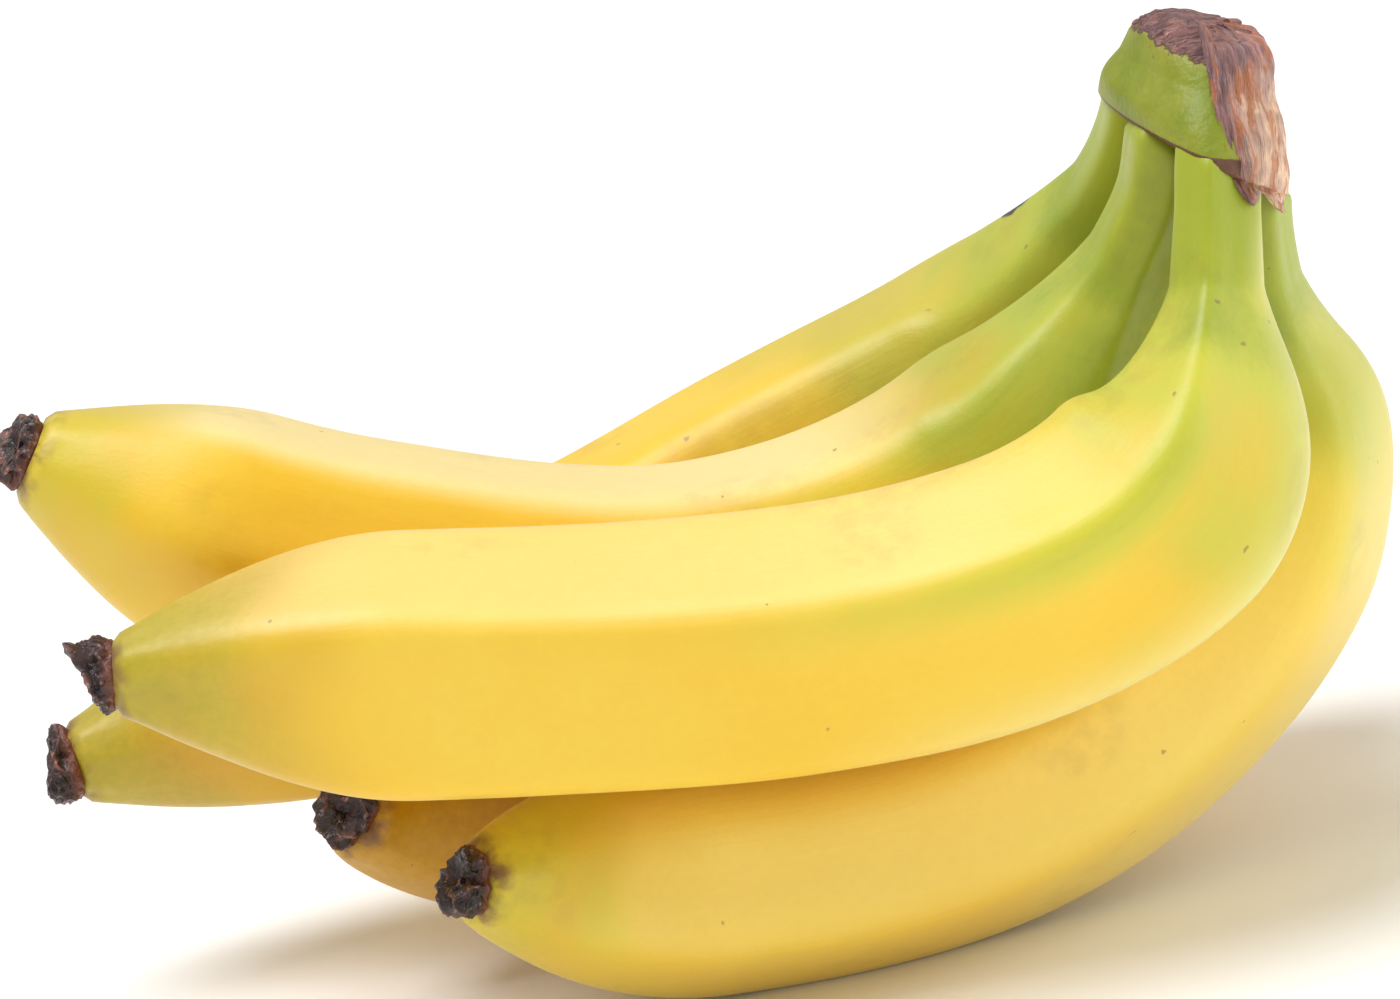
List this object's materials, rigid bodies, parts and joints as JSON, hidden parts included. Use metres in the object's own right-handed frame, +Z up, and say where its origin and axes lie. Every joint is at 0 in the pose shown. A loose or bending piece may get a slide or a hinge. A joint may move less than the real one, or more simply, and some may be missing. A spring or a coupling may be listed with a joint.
{
  "type": "bunch of bananas",
  "caption": "Hand of ripe yellow bananas joined at one green crown with a dry cut top, lying on its lower bellies, with dark dried blossom ends.",
  "frame": {"origin": "on the surface it lies on, under the middle of the bunch's box", "axes": "+X along the bunch from the blossom ends to the crown, +Y towards the back of the bunch, +Z up"},
  "size_m": [0.2138, 0.1198, 0.1282],
  "materials": {
    "ripe_peel": "smooth waxy skin, soft sheen",
    "green_crown": "smooth waxy green skin, brown dry cut",
    "dried_tissue": "dry fibrous, matt",
    "dried_flower": "dry crinkled, matt"
  },
  "bodies": {
    "root": {"crown": "green_crown", "stalk_strip": "dried_tissue", "finger_a": "ripe_peel", "finger_b": "ripe_peel", "finger_c": "ripe_peel", "finger_d": "ripe_peel", "finger_e": "ripe_peel", "blossom_end_a": "dried_flower", "blossom_end_b": "dried_flower", "blossom_end_c": "dried_flower", "blossom_end_d": "dried_flower", "blossom_end_e": "dried_flower"}
  },
  "joints": []
}
